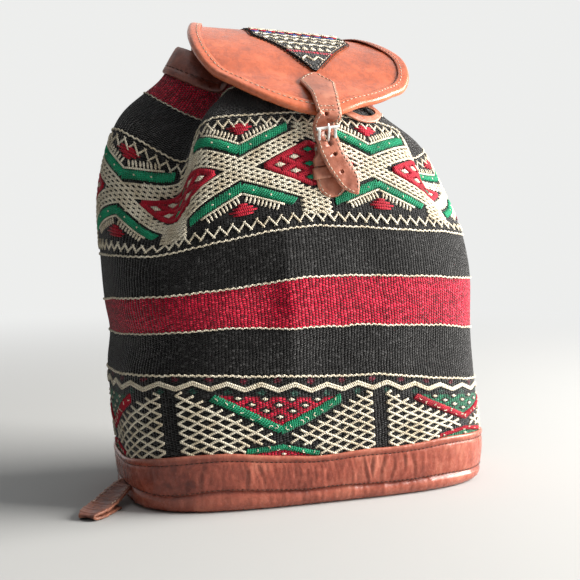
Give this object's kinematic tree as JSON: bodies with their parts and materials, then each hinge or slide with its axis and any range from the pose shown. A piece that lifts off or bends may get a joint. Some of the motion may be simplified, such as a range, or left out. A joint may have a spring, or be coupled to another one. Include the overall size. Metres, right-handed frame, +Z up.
{
  "type": "backpack",
  "caption": "Woven kilim drawstring backpack with leather base, buckled leather flap and shoulder straps hanging at the back.",
  "frame": {"origin": "middle of the base panel's flat underside", "axes": "+Z up, -Y out of the front where the closure is, +X to the right seen from the front"},
  "size_m": [0.3788, 0.1703, 0.3622],
  "materials": {
    "kilim_wool": "weft-faced wool weave with raised cotton pattern",
    "base_leather": "polished, creased",
    "flap_leather": "polished, mottled",
    "strap_leather": "satin, worn",
    "buckle_steel": "polished wire",
    "eyelet_brass": "satin"
  },
  "bodies": {
    "bag": {"kilim_body": "kilim_wool", "top_hem": "base_leather", "eyelet_left": "eyelet_brass", "eyelet_right": "eyelet_brass", "drawstring": "strap_leather", "drawstring_bow": "strap_leather", "base_band": "base_leather", "base_panel": "base_leather", "anchor_patch": "base_leather", "closure_tab": "strap_leather", "closure_keeper": "strap_leather", "strap_upper_left": "strap_leather", "strap_upper_right": "strap_leather", "strap_keeper_left": "strap_leather", "strap_keeper_right": "strap_leather", "strap_lower_left": "strap_leather", "strap_lower_right": "strap_leather"},
    "flap": {"flap_leather": "flap_leather", "flap_binding": "flap_leather", "flap_inset": "kilim_wool", "closure_strap": "strap_leather"},
    "closure_buckle": {"closure_frame": "buckle_steel"},
    "closure_tongue": {"closure_prong": "buckle_steel"},
    "left_buckle": {"strap_frame_left": "buckle_steel"},
    "left_tongue": {"strap_prong_left": "buckle_steel"},
    "right_buckle": {"strap_frame_right": "buckle_steel"},
    "right_tongue": {"strap_prong_right": "buckle_steel"}
  },
  "joints": [
    {"name": "flap_hinge", "type": "hinge", "parent": "bag", "child": "flap", "pos_m": [-0.007, 0.06077, 0.34536], "axis": [-1, 0, 0], "range_deg": [0, 110], "deforming": ["closure_strap"]},
    {"name": "closure_buckle_hinge", "type": "hinge", "parent": "bag", "child": "closure_buckle", "pos_m": [-0.00697, -0.07478, 0.25994], "axis": [0.9897, 0.0397, 0.1379], "range_deg": [-15, 60]},
    {"name": "closure_tongue_hinge", "type": "hinge", "parent": "closure_buckle", "child": "closure_tongue", "pos_m": [-0.00697, -0.07478, 0.25994], "axis": [0.9897, 0.0397, 0.1379], "range_deg": [0, 30]},
    {"name": "left_buckle_hinge", "type": "hinge", "parent": "bag", "child": "left_buckle", "pos_m": [-0.05298, 0.08156, 0.14147], "axis": [0.9983, 0.0581, 0], "range_deg": [-12, 75]},
    {"name": "left_tongue_hinge", "type": "hinge", "parent": "left_buckle", "child": "left_tongue", "pos_m": [-0.05298, 0.08156, 0.14147], "axis": [0.9983, 0.0581, 0], "range_deg": [0, 35]},
    {"name": "right_buckle_hinge", "type": "hinge", "parent": "bag", "child": "right_buckle", "pos_m": [0.01555, 0.08236, 0.14306], "axis": [0.9999, -0.0144, 0], "range_deg": [-12, 75]},
    {"name": "right_tongue_hinge", "type": "hinge", "parent": "right_buckle", "child": "right_tongue", "pos_m": [0.01555, 0.08236, 0.14306], "axis": [0.9999, -0.0144, 0], "range_deg": [0, 35]}
  ]
}
